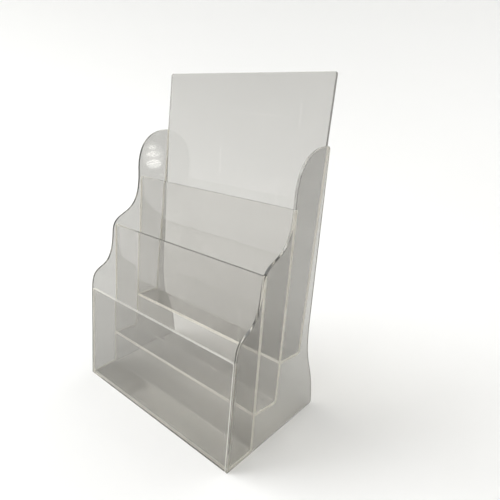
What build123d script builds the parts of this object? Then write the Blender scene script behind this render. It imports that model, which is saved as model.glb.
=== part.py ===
from build123d import *
from math import cos, radians, sin, tan
import os

# Three-tier magazine rack in clear acrylic sheet: two shaped side panels, a flat front panel and three
# sheets bent to an L between them, and the cement films that join the cut edges. All dimensions are in mm.
# Depths are measured back from where the front face would meet the floor, heights up from the floor.

# Stock and joints
SHEET = 3.0
CEMENT = 0.3  # thickness of a cured cement film
BEND_RADIUS = 3.0  # of a heat bend, at mid-thickness
EASED_EDGE = 0.4  # radius of the polished, exposed edges
INNER_WIDTH = 228.0  # clear width between the side panels

# Upright panels: where the front face would meet the floor, its lean back in degrees, and its top
FRONT_DEPTH, FRONT_LEAN, FRONT_TOP = 0.0, 8.7, 107.6
SECOND_DEPTH, SECOND_LEAN, SECOND_TOP = 32.0, 7.7, 175.8
THIRD_DEPTH, THIRD_LEAN, THIRD_TOP = 63.4, 8.6, 225.1
BACK_DEPTH, BACK_LEAN, BACK_TOP = 91.6, 10.6, 337.5
BACK_CORNER_RADIUS = 3.0

# Shelves: height of the bend at the rear, at mid-thickness, and the slope in degrees down to it. The
# front one is level and is the floor.
FLOOR_BEND_HEIGHT, FLOOR_SLOPE = SHEET / 2, 0.0
MIDDLE_BEND_HEIGHT, MIDDLE_SLOPE = 36.1, 7.0
REAR_BEND_HEIGHT, REAR_SLOPE = 74.3, 7.0
SHELF_BLANK = 45.0  # length of a shelf in front of its bend before it is cut to its pocket

# Side panels. The front edge passes three rises and ends on a crest. Each curve between two of them
# leaves along the lean of the lower one and arrives along the lean of the upper one. Its two pulls are
# the lengths of its handles, at the lower and the upper end.
SIDE_TOP = 275.0
SECOND_RISE, SECOND_RISE_LEAN = (52.2, 167.3), 9.7
THIRD_RISE, THIRD_RISE_LEAN = (96.5, 232.3), 5.7
CREST_DEPTH = 136.0
FIRST_WAVE_PULLS = (39.6, 56.2)
SECOND_WAVE_PULLS = (31.6, 62.0)
CREST_PULLS = (38.4, 10.3)
WAIST = (123.4, 110.0)  # where the straight rear edge turns out towards the foot
FOOT_DEPTH, FOOT_HEIGHT = 129.6, 7.0
FOOT_PULLS = (53.5, 62.0)
REAR_CORNER_RADIUS = 3.0
FOOT_CORNER_RADIUS = 3.5


def along(lean):
    """Direction up a surface that leans back by an angle in degrees, as (depth, height)."""
    return Vector(sin(radians(lean)), cos(radians(lean)))


def across(lean):
    """Direction from the front face of such a sheet to its rear face."""
    return Vector(cos(radians(lean)), -sin(radians(lean)))


def upright(depth, lean, height, share=0.0):
    """Point of an upright at a height: share 0 is its front face, 0.5 mid-thickness, 1 its rear face."""
    return Vector(depth + height * tan(radians(lean)) + share * SHEET / cos(radians(lean)), height)


# The origin lies midway between the front panel's lower edge and the rearmost point, on the back's top edge
back_top = upright(BACK_DEPTH, BACK_LEAN, BACK_TOP, 0.5)
rearmost = back_top.X + SHEET / 2 * across(BACK_LEAN).X
ORIGIN_DEPTH = (FRONT_DEPTH + rearmost) / 2
WIDTH = INNER_WIDTH + 2 * SHEET
SHEET_WIDTH = INNER_WIDTH - 2 * CEMENT


def section(x):
    """Section plane at a given X, with its own axes along depth and height."""
    return Plane(origin=(x, -ORIGIN_DEPTH, 0), x_dir=(0, 1, 0), z_dir=(1, 0, 0))


def behind(depth, lean, gap=0.0):
    """Plane parallel to an upright's rear face and a gap behind it, facing to the rear."""
    way = across(lean)
    start = upright(depth, lean, 0, 1) + gap * way
    return Plane(origin=(0, start.X - ORIGIN_DEPTH, start.Y), x_dir=(1, 0, 0), z_dir=(0, way.X, way.Y))


def sheet_line(depth, lean, top, bend_height, slope):
    """Mid-thickness line of a shelf and its upright, seen from the side, from the shelf's front end."""
    bend = upright(depth, lean, bend_height, 0.5)
    shelf_way = Vector(-cos(radians(slope)), sin(radians(slope)))
    return [bend + SHELF_BLANK * shelf_way, bend, upright(depth, lean, top, 0.5)]


front_line = sheet_line(SECOND_DEPTH, SECOND_LEAN, SECOND_TOP, FLOOR_BEND_HEIGHT, FLOOR_SLOPE)
middle_line = sheet_line(THIRD_DEPTH, THIRD_LEAN, THIRD_TOP, MIDDLE_BEND_HEIGHT, MIDDLE_SLOPE)
rear_line = sheet_line(BACK_DEPTH, BACK_LEAN, BACK_TOP, REAR_BEND_HEIGHT, REAR_SLOPE)

# Each shelf is cut off one cement film behind the upright in front of it
front_cut = behind(FRONT_DEPTH, FRONT_LEAN, CEMENT)
middle_cut = behind(SECOND_DEPTH, SECOND_LEAN, CEMENT)
rear_cut = behind(THIRD_DEPTH, THIRD_LEAN, CEMENT)

# The flat front panel is cut off level at the floor
panel_line = [upright(FRONT_DEPTH, FRONT_LEAN, -SHEET, 0.5), upright(FRONT_DEPTH, FRONT_LEAN, FRONT_TOP, 0.5)]


def sheet(line, cut, x_start, width, eased=False):
    """Sheet along a line, with its upper end eased if asked, and the part beyond a plane cut off."""
    with BuildPart() as piece:
        with BuildSketch(section(x_start)):
            with BuildLine():
                if len(line) > 2:
                    FilletPolyline(line, radius=BEND_RADIUS)
                else:
                    Line(line)
            trace(line_width=SHEET)
            if eased:
                fillet(vertices().sort_by(Axis.Y)[-2:], radius=EASED_EDGE)
        extrude(amount=width)
        split(bisect_by=cut, keep=Keep.TOP)
    return piece.part


def side_outline(x):
    """Outline of a side panel on the section plane at x."""
    first_rise = upright(FRONT_DEPTH, FRONT_LEAN, FRONT_TOP)
    second_rise = Vector(*SECOND_RISE)
    third_rise = Vector(*THIRD_RISE)
    crest = Vector(CREST_DEPTH, SIDE_TOP)
    rear_top = upright(BACK_DEPTH, BACK_LEAN, SIDE_TOP, 1)
    waist = Vector(*WAIST)
    foot = Vector(FOOT_DEPTH, FOOT_HEIGHT)

    def wave(lower, lower_way, upper, upper_way, pulls):
        Bezier(lower, lower + pulls[0] * lower_way, upper - pulls[1] * upper_way, upper)

    with BuildSketch(section(x)) as outline:
        with BuildLine():
            Line((FRONT_DEPTH, 0), first_rise)
            wave(first_rise, along(FRONT_LEAN), second_rise, along(SECOND_RISE_LEAN), FIRST_WAVE_PULLS)
            wave(second_rise, along(SECOND_RISE_LEAN), third_rise, along(THIRD_RISE_LEAN), SECOND_WAVE_PULLS)
            wave(third_rise, along(THIRD_RISE_LEAN), crest, Vector(1, 0), CREST_PULLS)
            Polyline(crest, rear_top, waist)
            wave(foot, Vector(0, 1), waist, (rear_top - waist).normalized(), FOOT_PULLS)
            Polyline(foot, (FOOT_DEPTH, 0), (FRONT_DEPTH, 0))
        make_face()
        fillet(vertices().group_by(Axis.Y)[0].sort_by(Axis.X)[-1], radius=FOOT_CORNER_RADIUS)
        fillet(vertices().group_by(Axis.Y)[-1].sort_by(Axis.X)[-1], radius=REAR_CORNER_RADIUS)
    return outline.sketch


def save(part, name):
    part.label = name
    export_step(part, f"parts/{name}.step")


os.makedirs("parts", exist_ok=True)

# Side panels, one each side of the clear width
for side, x_start in (("left", -WIDTH / 2), ("right", INNER_WIDTH / 2)):
    with BuildPart() as side_panel:
        extrude(side_outline(x_start), amount=SHEET)
        fillet(faces().filter_by(Axis.X).edges(), radius=EASED_EDGE)
    save(side_panel.part, f"{side}_side_panel")

# Sheets between the side panels
with BuildPart() as front_panel:
    add(sheet(panel_line, Plane.XY, -SHEET_WIDTH / 2, SHEET_WIDTH, eased=True))
save(front_panel.part, "front_panel")

with BuildPart() as front_pocket_sheet:
    add(sheet(front_line, front_cut, -SHEET_WIDTH / 2, SHEET_WIDTH, eased=True))
save(front_pocket_sheet.part, "front_pocket_sheet")

with BuildPart() as middle_pocket_sheet:
    add(sheet(middle_line, middle_cut, -SHEET_WIDTH / 2, SHEET_WIDTH, eased=True))
save(middle_pocket_sheet.part, "middle_pocket_sheet")

with BuildPart() as rear_pocket_sheet:
    add(sheet(rear_line, rear_cut, -SHEET_WIDTH / 2, SHEET_WIDTH, eased=True))
    top = rear_pocket_sheet.part.bounding_box().max.Z
    with BuildSketch(Plane.XZ):
        with Locations((0, top / 2)):
            RectangleRounded(SHEET_WIDTH, top, BACK_CORNER_RADIUS)
    extrude(amount=WIDTH, both=True, mode=Mode.INTERSECT)
save(rear_pocket_sheet.part, "rear_pocket_sheet")

# Cement films between the ends of each of these and the side panels
ends = {
    "front_panel": (panel_line, Plane.XY),
    "front_sheet": (front_line, front_cut),
    "middle_sheet": (middle_line, middle_cut),
    "rear_sheet": (rear_line, rear_cut),
}
for piece_name, (line, cut) in ends.items():
    for side, x_start in (("left", -INNER_WIDTH / 2), ("right", SHEET_WIDTH / 2)):
        with BuildPart() as end_film:
            add(sheet(line, cut, x_start, CEMENT))
            extrude(side_outline(x_start), amount=CEMENT, mode=Mode.INTERSECT)
        save(end_film.part, f"{piece_name}_{side}_cement")

# Cement films between the front edge of each shelf and the upright in front of it
shelf_joints = {
    "front": (front_line, front_cut, behind(FRONT_DEPTH, FRONT_LEAN)),
    "middle": (middle_line, middle_cut, behind(SECOND_DEPTH, SECOND_LEAN)),
    "rear": (rear_line, rear_cut, behind(THIRD_DEPTH, THIRD_LEAN)),
}
for tier, (line, shelf_end, rear_face) in shelf_joints.items():
    with BuildPart() as edge_film:
        add(sheet(line, rear_face, -INNER_WIDTH / 2, INNER_WIDTH))
        split(bisect_by=shelf_end, keep=Keep.BOTTOM)
    save(edge_film.part, f"{tier}_shelf_edge_cement")
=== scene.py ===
import math

import bmesh
import bpy
from mathutils import Matrix, Vector


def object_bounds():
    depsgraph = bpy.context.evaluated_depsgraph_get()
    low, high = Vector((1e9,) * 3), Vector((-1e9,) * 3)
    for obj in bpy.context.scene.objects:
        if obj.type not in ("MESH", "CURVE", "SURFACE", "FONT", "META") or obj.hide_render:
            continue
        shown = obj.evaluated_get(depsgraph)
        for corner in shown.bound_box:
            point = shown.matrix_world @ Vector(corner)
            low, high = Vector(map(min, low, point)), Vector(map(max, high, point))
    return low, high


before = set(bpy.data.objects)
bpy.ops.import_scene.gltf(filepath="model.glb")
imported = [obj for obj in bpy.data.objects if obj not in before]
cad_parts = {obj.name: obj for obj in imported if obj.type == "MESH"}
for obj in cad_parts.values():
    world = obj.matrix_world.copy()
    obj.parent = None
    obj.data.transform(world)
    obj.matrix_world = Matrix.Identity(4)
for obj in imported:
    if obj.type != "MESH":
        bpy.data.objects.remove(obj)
cad_box = [list(corner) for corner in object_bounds()]

OUTER_SHEETS = ("front_panel", "rear_pocket_sheet")
INNER_SHEETS = ("front_pocket_sheet", "middle_pocket_sheet")
SIDES = ("left_side_panel", "right_side_panel")
FILMS = [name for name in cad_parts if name.endswith("_cement")]


# ---------------------------------------------------------------- node helpers
def new_material(name):
    material = bpy.data.materials.new(name)
    material.use_nodes = True
    material.node_tree.nodes.clear()
    return material, material.node_tree


def node(tree, kind, **settings):
    made = tree.nodes.new(kind)
    for key, value in settings.items():
        if hasattr(made, key):
            setattr(made, key, value)
        else:
            made.inputs[key.replace("_", " ")].default_value = value
    return made


def noise_of(tree, scale, detail=4.0, stretch=(1.0, 1.0, 1.0), turn=(0.0, 0.0, 0.0), distortion=0.0):
    """Noise in the rack's own coordinates, which may be stretched and turned."""
    place = node(tree, "ShaderNodeTexCoord")
    mapping = node(tree, "ShaderNodeMapping")
    mapping.inputs["Scale"].default_value = stretch
    mapping.inputs["Rotation"].default_value = turn
    noise = node(tree, "ShaderNodeTexNoise", Scale=scale, Detail=detail, Distortion=distortion)
    tree.links.new(place.outputs["Object"], mapping.inputs["Vector"])
    tree.links.new(mapping.outputs["Vector"], noise.inputs["Vector"])
    return noise.outputs["Fac"]


def spread(tree, value, low, high, to_low, to_high):
    """Maps a value's range low..high to another one."""
    made = node(tree, "ShaderNodeMapRange")
    for name, number in (("From Min", low), ("From Max", high), ("To Min", to_low), ("To Max", to_high)):
        made.inputs[name].default_value = number
    tree.links.new(value, made.inputs["Value"])
    return made.outputs["Result"]


def math_of(tree, operation, a, b):
    """A Math node on two sockets, or on a socket and a number."""
    made = node(tree, "ShaderNodeMath", operation=operation)
    for value, socket in ((a, made.inputs[0]), (b, made.inputs[1])):
        if isinstance(value, (int, float)):
            socket.default_value = value
        else:
            tree.links.new(value, socket)
    return made.outputs["Value"]


def blend(tree, factor, first, second):
    """Two colours mixed by a socket."""
    made = node(tree, "ShaderNodeMix", data_type="RGBA")
    for value, socket in ((first, made.inputs["A"]), (second, made.inputs["B"])):
        if isinstance(value, tuple):
            socket.default_value = (*value, 1.0)
        else:
            tree.links.new(value, socket)
    tree.links.new(factor, made.inputs["Factor"])
    return made.outputs["Result"]


# ---------------------------------------------------------------- materials
ACRYLIC_IOR = 1.49
ACROSS = 0.5  # a normal's X beyond this is across the rack: a side panel's face, or a sheet's cut end
UPWARD = 0.3  # a normal's Z beyond this is a sheet's top edge or a shelf
ABOVE_SHELVES = 0.1  # metres up, where only the tops of the sheets face upwards
ABOVE_FRONT = 0.15  # metres up, above the front panel's top

# Tints of the sheets' faces and of their cut edges. The faces' greys are painted shade that stands in for the
# darker room seen through the clear sheets, with darker copies on the outer sheets and the darkest on the
# side panels. The side panels' cut edges get a dark painted shade as well
OUTER_PAINTED_SHADE = (0.632, 0.625, 0.606)
INNER_PAINTED_SHADE = (0.785, 0.777, 0.76)
SIDE_PAINTED_SHADE = (0.535, 0.53, 0.513)
SHEET_EDGE_TINT = (0.90, 0.89, 0.84)
SIDE_EDGE_PAINTED_SHADE = (0.46, 0.455, 0.435)
SHADE = 1.3  # power of the tint that each face puts on the light that falls through it

# Share of the light that the cut edges scatter
SIDE_FROST, TIER_FROST, FRONT_FROST, END_FROST = 0.08, 0.15, 0.6, 0.3
EDGE_ROUGHNESS = (0.10, 0.16)

# What smudges and scratches add to the tint and to the roughness
SMUDGE_HAZE, SCRATCH_HAZE = 0.015, 0.08
SMUDGE_ROUGHNESS, SCRATCH_ROUGHNESS = 0.035, 0.12
SCRATCH_DEPTH = 0.00005  # metres

# Cement films: two creams, the painted glow's colour, and the tint of the light that falls through
DARK_CREAM, PALE_CREAM = (0.90, 0.89, 0.84), (0.97, 0.965, 0.93)
GLOW_COLOUR = (1.0, 0.985, 0.94, 1.0)
CEMENT_ROUGHNESS = (0.3, 0.6)
CEMENT_PANE = (0.9, 0.9, 0.9)


def lit_through(tree, shader, tint):
    """The shader as seen, but a tinted clear pane for the rays to lamps, so that light falls through it."""
    pane = node(tree, "ShaderNodeBsdfTransparent", Color=(*tint, 1.0))
    path = node(tree, "ShaderNodeLightPath")
    mix = node(tree, "ShaderNodeMixShader")
    tree.links.new(path.outputs["Is Shadow Ray"], mix.inputs["Fac"])
    tree.links.new(shader.outputs["BSDF"], mix.inputs[1])
    tree.links.new(pane.outputs["BSDF"], mix.inputs[2])
    return mix


def edge_frost(tree, side_panel):
    """How much of the light a surface scatters: none on the polished faces, some on the cut edges."""
    place = node(tree, "ShaderNodeTexCoord")
    facing = node(tree, "ShaderNodeSeparateXYZ")
    point = node(tree, "ShaderNodeSeparateXYZ")
    tree.links.new(place.outputs["Normal"], facing.inputs["Vector"])
    tree.links.new(place.outputs["Object"], point.inputs["Vector"])
    across = math_of(tree, "ABSOLUTE", facing.outputs["X"], 0.0)
    if side_panel:
        return math_of(tree, "MULTIPLY", math_of(tree, "LESS_THAN", across, ACROSS), SIDE_FROST)
    upward = math_of(tree, "GREATER_THAN", facing.outputs["Z"], UPWARD)
    low = math_of(tree, "GREATER_THAN", point.outputs["Z"], ABOVE_SHELVES)
    high = math_of(tree, "GREATER_THAN", point.outputs["Z"], ABOVE_FRONT)
    top = math_of(tree, "SUBTRACT", math_of(tree, "MULTIPLY", low, FRONT_FROST),
                  math_of(tree, "MULTIPLY", high, FRONT_FROST - TIER_FROST))
    ends = math_of(tree, "MULTIPLY", math_of(tree, "GREATER_THAN", across, ACROSS), END_FROST)
    return math_of(tree, "MAXIMUM", ends, math_of(tree, "MULTIPLY", upward, top))


def scratches(tree):
    """Hairlines from wiping and from magazines sliding in and out, mostly along the height and the width."""
    upright = noise_of(tree, 90.0, 2.0, stretch=(1.0, 1.0, 0.03), turn=(0.0, 0.12, 0.0))
    level = noise_of(tree, 110.0, 2.0, stretch=(0.025, 1.0, 1.0), turn=(0.0, -0.06, 0.0))
    upright = spread(tree, upright, 0.70, 0.76, 0.0, 1.0)
    level = spread(tree, level, 0.72, 0.78, 0.0, 1.0)
    return math_of(tree, "MAXIMUM", upright, level)


def clear_acrylic(name, side_panel, tint, edge_tint):
    """Clear sheet, tinted grey with painted shade: smooth faces with smudges and hairlines, and cut edges
    that scatter some light.
    """
    material, tree = new_material(name)
    out = node(tree, "ShaderNodeOutputMaterial")
    shader = node(tree, "ShaderNodeBsdfPrincipled", IOR=ACRYLIC_IOR)
    frost = edge_frost(tree, side_panel)
    edge = math_of(tree, "GREATER_THAN", frost, 0.0)
    marks = scratches(tree)
    smudge = spread(tree, noise_of(tree, 14.0, 6.0, distortion=1.5), 0.50, 0.72, 0.0, 1.0)

    # The tint is painted shade, and so is the side panels' edge tint. Smudges and hairlines haze the tint a
    # little
    clear = blend(tree, smudge, tint, tuple(c + SMUDGE_HAZE for c in tint))
    clear = blend(tree, marks, clear, tuple(c + SCRATCH_HAZE for c in tint))
    tree.links.new(blend(tree, edge, clear, edge_tint), shader.inputs["Base Color"])
    tree.links.new(spread(tree, frost, 0.0, 1.0, 1.0, 0.0), shader.inputs["Transmission Weight"])

    smudge_rough = math_of(tree, "MULTIPLY", smudge, SMUDGE_ROUGHNESS)
    mark_rough = math_of(tree, "MULTIPLY", marks, SCRATCH_ROUGHNESS)
    face_rough = math_of(tree, "ADD", smudge_rough, mark_rough)
    edge_rough = spread(tree, noise_of(tree, 150.0), 0.3, 0.7, *EDGE_ROUGHNESS)
    edge_rough = math_of(tree, "MULTIPLY", edge_rough, edge)
    tree.links.new(math_of(tree, "ADD", face_rough, edge_rough), shader.inputs["Roughness"])

    bump = node(tree, "ShaderNodeBump", Strength=0.15, Distance=SCRATCH_DEPTH)
    tree.links.new(marks, bump.inputs["Height"])
    tree.links.new(bump.outputs["Normal"], shader.inputs["Normal"])
    pane = tuple(c ** SHADE for c in tint)
    tree.links.new(lit_through(tree, shader, pane).outputs["Shader"], out.inputs["Surface"])
    return material


def cured_cement(name, glow):
    """Cured cement film: cream and uneven, with a painted glow (emission) that stands in for the light that
    the sheets pipe to their edges.
    """
    material, tree = new_material(name)
    out = node(tree, "ShaderNodeOutputMaterial")
    shader = node(tree, "ShaderNodeBsdfPrincipled", IOR=ACRYLIC_IOR)
    uneven = spread(tree, noise_of(tree, 120.0, 3.0), 0.35, 0.65, 0.0, 1.0)
    rough = spread(tree, noise_of(tree, 300.0), 0.3, 0.7, *CEMENT_ROUGHNESS)
    tree.links.new(blend(tree, uneven, DARK_CREAM, PALE_CREAM), shader.inputs["Base Color"])
    tree.links.new(rough, shader.inputs["Roughness"])
    # Painted glow: emission that stands in for the light the sheets pipe to the films, though the cement is
    # no lamp
    shader.inputs["Emission Color"].default_value = GLOW_COLOUR
    shader.inputs["Emission Strength"].default_value = glow
    tree.links.new(lit_through(tree, shader, CEMENT_PANE).outputs["Shader"], out.inputs["Surface"])
    return material


# Three copies of one clear acrylic that differ in painted shade: darkest on the side panels, darker on the
# outer sheets, lightest on the inner ones
side_acrylic = clear_acrylic("side_panel_acrylic_darkest_painted_shade", True, SIDE_PAINTED_SHADE, SIDE_EDGE_PAINTED_SHADE)
outer_acrylic = clear_acrylic("outer_sheet_acrylic_darker_painted_shade", False, OUTER_PAINTED_SHADE, SHEET_EDGE_TINT)
inner_acrylic = clear_acrylic("inner_sheet_acrylic_light_painted_shade", False, INNER_PAINTED_SHADE, SHEET_EDGE_TINT)
# Three copies of one cement that differ only in painted glow: dim on the front and left films, brighter on
# the right ends, brightest on the shelf edges
dim_glow_cement = cured_cement("cured_cement_dim_painted_glow_front_and_left", glow=0.13)
brighter_glow_cement = cured_cement("cured_cement_brighter_painted_glow_right_ends", glow=0.23)
brightest_glow_cement = cured_cement("cured_cement_brightest_painted_glow_shelf_edges", glow=0.48)
for names, acrylic in ((SIDES, side_acrylic), (OUTER_SHEETS, outer_acrylic), (INNER_SHEETS, inner_acrylic)):
    for name in names:
        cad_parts[name].material_slots[0].material = acrylic
for name in FILMS:
    cement = brightest_glow_cement if "shelf_edge" in name else brighter_glow_cement
    if name.startswith(("front_panel", "front_shelf")) or "left" in name:
        cement = dim_glow_cement
    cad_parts[name].material_slots[0].material = cement


# ---------------------------------------------------------------- stage
GAP = 0.0003  # between the rack and the floor, so that no two faces coincide
STAGE_PAINT = (0.83, 0.83, 0.82, 1.0)


def stage_material():
    material, tree = new_material("stage_paint")
    out = node(tree, "ShaderNodeOutputMaterial")
    shader = node(tree, "ShaderNodeBsdfPrincipled", Roughness=0.9)
    shader.inputs["Base Color"].default_value = STAGE_PAINT
    tree.links.new(shader.outputs["BSDF"], out.inputs["Surface"])
    return material


def make_stage(floor_radius=0.9, cove_radius=1.7, wall_height=2.5, steps=32, turns=96):
    """A round floor that curves up into a wall all the way round, so that every view has a plain backdrop."""
    outline = [(0.0, -GAP), (floor_radius, -GAP)]
    for i in range(1, steps + 1):
        a = math.pi / 2 * i / steps
        outline.append((floor_radius + cove_radius * math.sin(a), cove_radius * (1 - math.cos(a))))
    outline.append((floor_radius + cove_radius, wall_height))
    mesh = bpy.data.meshes.new("stage_floor")
    work = bmesh.new()
    chain = [work.verts.new((r, 0, z)) for r, z in outline]
    edges = [work.edges.new(pair) for pair in zip(chain, chain[1:])]
    bmesh.ops.spin(work, geom=chain + edges, cent=(0, 0, 0), axis=(0, 0, 1), angle=2 * math.pi, steps=turns,
                   use_merge=True, use_normal_flip=True)
    bmesh.ops.remove_doubles(work, verts=work.verts, dist=1e-5)
    bmesh.ops.recalc_face_normals(work, faces=work.faces)
    for face in work.faces:
        face.smooth = True
    work.to_mesh(mesh)
    work.free()
    mesh.materials.append(stage_material())
    stage = bpy.data.objects.new("stage_floor", mesh)
    bpy.context.collection.objects.link(stage)


def softbox(name, place, aim, size, power, shape="RECTANGLE", beam=180.0, mirrored=True):
    """Area lamp that lights the rack and may mirror in the sheets, but that the camera doesn't see."""
    light = bpy.data.lights.new(name, "AREA")
    light.shape = shape
    light.size, light.size_y = size
    light.energy = power
    light.spread = math.radians(beam)
    lamp = bpy.data.objects.new(name, light)
    lamp.location = place
    lamp.rotation_mode = "QUATERNION"
    lamp.rotation_quaternion = (Vector(aim) - Vector(place)).to_track_quat("-Z", "Y")
    lamp.visible_camera = False
    lamp.visible_glossy = mirrored
    bpy.context.collection.objects.link(lamp)


make_stage()
MIDDLE = (0, 0, 0.15)
softbox("key_softbox", (-1.2, -0.6, 1.9), MIDDLE, size=(1.4, 1.0), power=38, mirrored=False)
softbox("rear_softbox", (0.4, 1.3, 1.7), MIDDLE, size=(1.6, 1.0), power=9)

# Lamps with narrow beams that mirror in the left side panel near its crest: three small ones, one above the
# other, in a wide and faint one. A lamp's rise moves its mirror point by less, as the camera is nearer.
GLINT_PLACE = (0.536, 0.506, 0.12)
MIRROR_POINT = (-0.114, 0.04, 0.248)
RISE_SHARE = 0.416
for name, rise, size, power, beam in (
    ("upper_glint", 0.021, (0.022, 0.013), 6.5e-6, 8.0),
    ("middle_glint", 0.002, (0.040, 0.016), 1.5e-5, 8.0),
    ("lower_glint", -0.026, (0.042, 0.024), 2.9e-5, 8.0),
    ("glint_veil", -0.004, (0.060, 0.080), 2.8e-5, 5.0),
):
    place = Vector(GLINT_PLACE) + Vector((0, 0, rise))
    mirror_point = Vector(MIRROR_POINT) + Vector((0, 0, RISE_SHARE * rise))
    softbox(name, place, mirror_point, size, power, "ELLIPSE", beam)

SKY_STRENGTH = 0.58
world = bpy.data.worlds.new("studio")
world.use_nodes = True
world.node_tree.nodes["Background"].inputs["Color"].default_value = (1, 1, 1, 1)
world.node_tree.nodes["Background"].inputs["Strength"].default_value = SKY_STRENGTH
bpy.context.scene.world = world

# ---------------------------------------------------------------- camera
FRONT_EDGE = cad_box[0][1]  # the front panel's lower edge, the foremost point of the rack
CAMERA_PLACE = (0.3495, FRONT_EDGE - 0.2141, 0.3388)
AZIMUTH, ELEVATION, ROLL = 42.71, 21.67, -1.05  # degrees; the camera looks down by the elevation
LENS, SENSOR = 33.19, 36.0  # mm
SHIFT = (-0.0028, 0.0088)


def make_camera():
    azimuth, elevation, roll = (math.radians(angle) for angle in (AZIMUTH, ELEVATION, ROLL))
    ahead = Vector((-math.sin(azimuth) * math.cos(elevation), math.cos(azimuth) * math.cos(elevation),
                    -math.sin(elevation)))
    level_right = ahead.cross(Vector((0, 0, 1))).normalized()
    level_up = level_right.cross(ahead)
    right = math.cos(roll) * level_right + math.sin(roll) * level_up
    up = -math.sin(roll) * level_right + math.cos(roll) * level_up
    data = bpy.data.cameras.new("camera")
    data.sensor_width = SENSOR
    data.lens = LENS
    data.shift_x, data.shift_y = SHIFT
    data.clip_start, data.clip_end = 0.01, 20.0
    camera = bpy.data.objects.new("camera", data)
    turn = Matrix((right, up, -ahead)).transposed().to_4x4()
    camera.matrix_world = Matrix.Translation(CAMERA_PLACE) @ turn
    bpy.context.collection.objects.link(camera)
    bpy.context.scene.camera = camera


make_camera()

# ---------------------------------------------------------------- render
bpy.context.scene.view_settings.view_transform = "Standard"
cycles = bpy.context.scene.cycles
cycles.max_bounces = 40
cycles.transmission_bounces = 40
cycles.transparent_max_bounces = 32
cycles.glossy_bounces = 8
cycles.diffuse_bounces = 6
